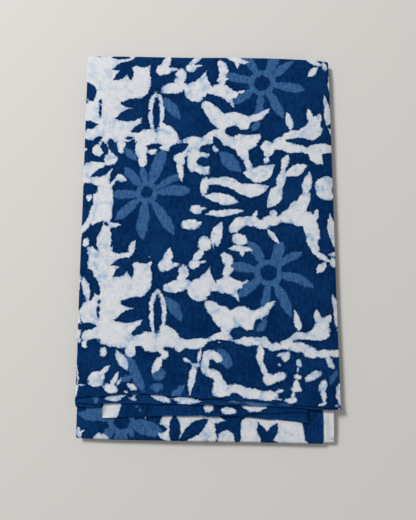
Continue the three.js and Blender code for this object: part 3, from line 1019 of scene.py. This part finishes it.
def last_distances(shader, point, navy, blue):
    """The same distances, with the blocks that don't repeat: some of the second row, the last row before the
    cut end, and those at the near fold"""
    x, y = shader.places(point)
    navy = shader.math("MINIMUM", navy, union(shader, point, SECOND_NAVY, JOIN_MARKS))
    opened = shader.math("MULTIPLY", union(shader, point, SECOND_UNDYED, JOIN_UNDYED), -1.0)
    navy = shader.math("MAXIMUM", navy, opened)
    outermost = shader.math("MULTIPLY", shader.math("GREATER_THAN", x, LEFT_FOLD),
                            shader.math("LESS_THAN", x, PLAIN_BESIDE))
    past_seam = shader.ramp(y, LAST_ROW + LAST_ROW_SEAM, LAST_ROW - LAST_ROW_SEAM)
    in_last = shader.math("MULTIPLY", past_seam, outermost)
    navy = shader.choose(in_last, navy, navy_distance(shader, point, LAST_UNDYED, ()))
    blue = shader.choose(in_last, blue, union(shader, point, LAST_BLUE, JOIN_PETALS))

    turned = shader.vector("SUBTRACT", (*TURNED_SUM, 2), point)
    in_near = shader.math("MULTIPLY", shader.math("LESS_THAN", x, LEFT_FOLD),
                          shader.math("GREATER_THAN", y, NEAR_ROW))
    navy = shader.choose(in_near, navy, navy_distance(shader, turned, NEAR_UNDYED, NEAR_MARKS))
    return navy, shader.choose(in_near, blue, flower_distance(shader, turned, *NEAR_FLOWER))


def plain_distances(shader, point, navy, blue):
    """The same distances, with the plain bands and ends, and the marks in those"""
    x, y = shader.places(point)
    left_band = shader.math("SUBTRACT", x, BANDS[0])
    right_band = shader.math("SUBTRACT", BANDS[1], x)
    beside = shader.math("SUBTRACT", PLAIN_BESIDE, shader.math("ABSOLUTE", x))
    end = shader.math("MAXIMUM", beside, shader.math("SUBTRACT", y, PLAIN_END))
    plain = shader.math("MINIMUM", shader.math("MINIMUM", left_band, right_band), end)
    marks = union(shader, point, END_UNDYED, JOIN_UNDYED)
    navy = shader.math("MAXIMUM", shader.math("MINIMUM", navy, plain), shader.math("MULTIPLY", marks, -1.0))
    blue = shader.math("MAXIMUM", blue, shader.math("MULTIPLY", plain, -1.0))
    blue = shader.math("MINIMUM", blue, union(shader, point, END_BLUE, JOIN_UNDYED))
    return navy, blue


def undyed_colour(shader, flat, moved, navy, wrong_side):
    """Undyed cotton, with blue that crept from the ink, into the paste's cracks and through from behind"""
    cloud = shader.noise(flat, *CLOUDS)
    zone = shader.ramp(shader.noise(flat, *ZONES), *ZONE_STAIN)
    near_ink = shader.ramp(navy, *NEAR_INK)
    reached = shader.math("MULTIPLY_ADD", near_ink, INK_STAIN, zone)
    creep = shader.math("MULTIPLY", shader.ramp(cloud, *CREPT), reached)
    cells = {"Vector": shader.scaled(moved, CRACK_CELLS), "Scale": 1.0}
    crack = shader.add("TexVoronoi", cells, "Distance", voronoi_dimensions="2D", feature="DISTANCE_TO_EDGE")
    cracked = shader.math("MULTIPLY", shader.ramp(crack, *CRACK_LINES), shader.ramp(cloud, *CRACKED_CLOUDS))
    stain = shader.math("MULTIPLY_ADD", cracked, CRACK_STAIN, creep)
    fringe = shader.ramp(navy, *FRINGE)
    stain = shader.math("ADD", stain, fringe)
    spots = shader.ramp(shader.noise(flat, *SPOTS_THROUGH), *SHOWN_THROUGH)
    stain = shader.math("MAXIMUM", stain, shader.math("MULTIPLY", wrong_side, spots))
    stained = shader.blend(shader.math("MINIMUM", stain, 1.0), UNDYED_WHITE, STAIN_BLUE)
    return shader.blend(shader.ramp(navy, *RIM), stained, RIM_BLUE)


def inked_colour(shader, flat, navy, in_blue, wrong_side, threads):
    """Ink, a little uneven where the vat took less, and deeper where it pooled along an edge"""

    def wear(uneven, share):
        more = shader.math("MULTIPLY_ADD", wrong_side, WRONG_SIDE_WEAR, uneven)
        return shader.math("ADD", more, shader.math("MULTIPLY_ADD", threads, share, -share))

    mottle = shader.noise(flat, *MOTTLE)
    navy_wear = shader.ramp(wear(shader.uneven(mottle, flat, *DRIFT), NAVY_THREADS), *NAVY_WEAR)
    navy_colour = shader.blend(navy_wear, NAVY, NAVY_WORN)
    navy_colour = shader.blend(shader.ramp(navy, *POOLED), navy_colour, NAVY_DEEP)
    blue_wear = shader.ramp(wear(mottle, BLUE_THREADS), *BLUE_WEAR)
    return shader.blend(in_blue, navy_colour, shader.blend(blue_wear, PETAL_BLUE, PETAL_WORN))


def print_material():
    material = bpy.data.materials.new("printed_cotton")
    material.use_nodes = True
    shader = Shader(material.node_tree)
    for kind in ("leaf", "petal", "dot"):
        shape_group(kind)
    place = shader.add("Attribute", {}, "Vector", attribute_name="cloth_place")
    flat = shader.vector("MULTIPLY", place, (1, 1, 0))
    wrong_side = shader.math("GREATER_THAN", shader.dot(place, (0, 0, 1)), 0.5)

    # Outlines wander, as the resist paste spreads under the block.
    charted = shader.vector("ADD", flat, (0, 0, 1))
    moved = shader.moved_by(shader.moved_by(charted, flat, *WANDER), flat, *RIPPLE)
    navy, blue = repeat_distances(shader, moved)
    navy, blue = last_distances(shader, moved, navy, blue)
    navy, blue = plain_distances(shader, moved, navy, blue)
    navy = shader.uneven(navy, flat, *RAGGED, SPREAD)
    navy = shader.uneven(navy, flat, *CHIPPED)
    ink = shader.ramp(navy, *NAVY_EDGE)
    in_blue = shader.ramp(shader.uneven(blue, flat, *BRUSHED), *BLUE_EDGE)

    # Threads: uneven slubs both ways. They drive the bump, and they also darken and lighten the colour:
    # partly the slubs' own tone, partly painted shade of the weave's relief.
    threads = shader.math("ADD", shader.noise(flat, *WARP), shader.noise(flat, *WEFT))

    ground = undyed_colour(shader, flat, moved, navy, wrong_side)
    inked = inked_colour(shader, flat, navy, in_blue, wrong_side, threads)
    printed = shader.blend(ink, ground, inked)
    # Painted shade of the weave, together with the slubs' own tone: the threads scale the printed colour
    shade = shader.math("MULTIPLY_ADD", threads, THREAD_SHADE, 1 - THREAD_SHADE)
    colour = shader.vector("SCALE", printed)
    shader.tree.links.new(shade, colour.node.inputs["Scale"])

    relief = {"Strength": BUMP_STRENGTH, "Distance": THREAD_BUMP, "Height": threads}
    bump = shader.add("Bump", relief, "Normal")
    surface = material.node_tree.nodes["Principled BSDF"]
    surface.inputs["Roughness"].default_value = ROUGHNESS
    surface.inputs["Specular IOR Level"].default_value = SPECULAR
    material.node_tree.links.new(colour, surface.inputs["Base Color"])
    material.node_tree.links.new(bump, surface.inputs["Normal"])
    return material


# ------------------------------
# Floor, light and camera

FLOOR_SIZE = 6
FLOOR_COLOUR = (0.65, 0.632, 0.6, 1)
FLOOR_ROUGHNESS = 0.9
WORLD_STRENGTH = 0.36  # as a light
BACKDROP_STRENGTH = 0.68  # where the camera sees it past the floor's far edge
KEY_POWER = 76.0
KEY_SIZE = 0.7
KEY_DISTANCE = 3.0
KEY_AZIMUTH = 42.0  # degrees from -X towards +Y
KEY_ELEVATION = 46.0

CAMERA_DISTANCE = 0.553
CAMERA_TILT = 6.7  # degrees from straight down
LOOK_AT = (0.0, -0.019, 0.0)
SENSOR_HEIGHT = 24.0
FOCAL_LENGTH = 23.08


def make_floor():
    bpy.ops.mesh.primitive_plane_add(size=FLOOR_SIZE, location=(0, 0, 0))
    floor = bpy.context.object
    floor.name = "floor"
    material = bpy.data.materials.new("floor")
    material.use_nodes = True
    surface = material.node_tree.nodes["Principled BSDF"]
    surface.inputs["Base Color"].default_value = FLOOR_COLOUR
    surface.inputs["Roughness"].default_value = FLOOR_ROUGHNESS
    floor.data.materials.append(material)


def make_light():
    world = bpy.data.worlds.new("studio")
    world.use_nodes = True
    background = world.node_tree.nodes["Background"]
    background.inputs["Color"].default_value = (1, 1, 1, 1)
    shader = Shader(world.node_tree)
    seen = shader.add("LightPath", {}, "Is Camera Ray")
    strength = shader.choose(seen, WORLD_STRENGTH, BACKDROP_STRENGTH)
    world.node_tree.links.new(strength, background.inputs["Strength"])
    bpy.context.scene.world = world
    light = bpy.data.lights.new("key", "AREA")
    light.energy = KEY_POWER
    light.size = KEY_SIZE
    key = bpy.data.objects.new("key", light)
    turn, rise = math.radians(KEY_AZIMUTH), math.radians(KEY_ELEVATION)
    key.location = (
        -KEY_DISTANCE * math.cos(rise) * math.cos(turn),
        KEY_DISTANCE * math.cos(rise) * math.sin(turn),
        KEY_DISTANCE * math.sin(rise),
    )
    key.rotation_euler = key.location.to_track_quat("Z", "Y").to_euler()
    bpy.context.scene.collection.objects.link(key)


def make_camera():
    data = bpy.data.cameras.new("camera")
    data.sensor_fit = "VERTICAL"
    data.sensor_height = SENSOR_HEIGHT
    data.lens = FOCAL_LENGTH
    camera = bpy.data.objects.new("camera", data)
    tilt = math.radians(CAMERA_TILT)
    camera.location = (
        LOOK_AT[0],
        LOOK_AT[1] - CAMERA_DISTANCE * math.sin(tilt),
        LOOK_AT[2] + CAMERA_DISTANCE * math.cos(tilt),
    )
    camera.rotation_euler = (tilt, 0, 0)
    bpy.context.scene.collection.objects.link(camera)
    bpy.context.scene.camera = camera


make_camera()
make_light()
make_floor()
bpy.context.scene.view_settings.view_transform = "Standard"

sheet = cloth_points()
cloth = make_cloth(*sheet)
threads = make_threads(*sheet)
material = print_material()
for piece in (cloth, threads):
    piece.data.materials.append(material)
    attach(piece, "root")
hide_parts("folded_cloth")
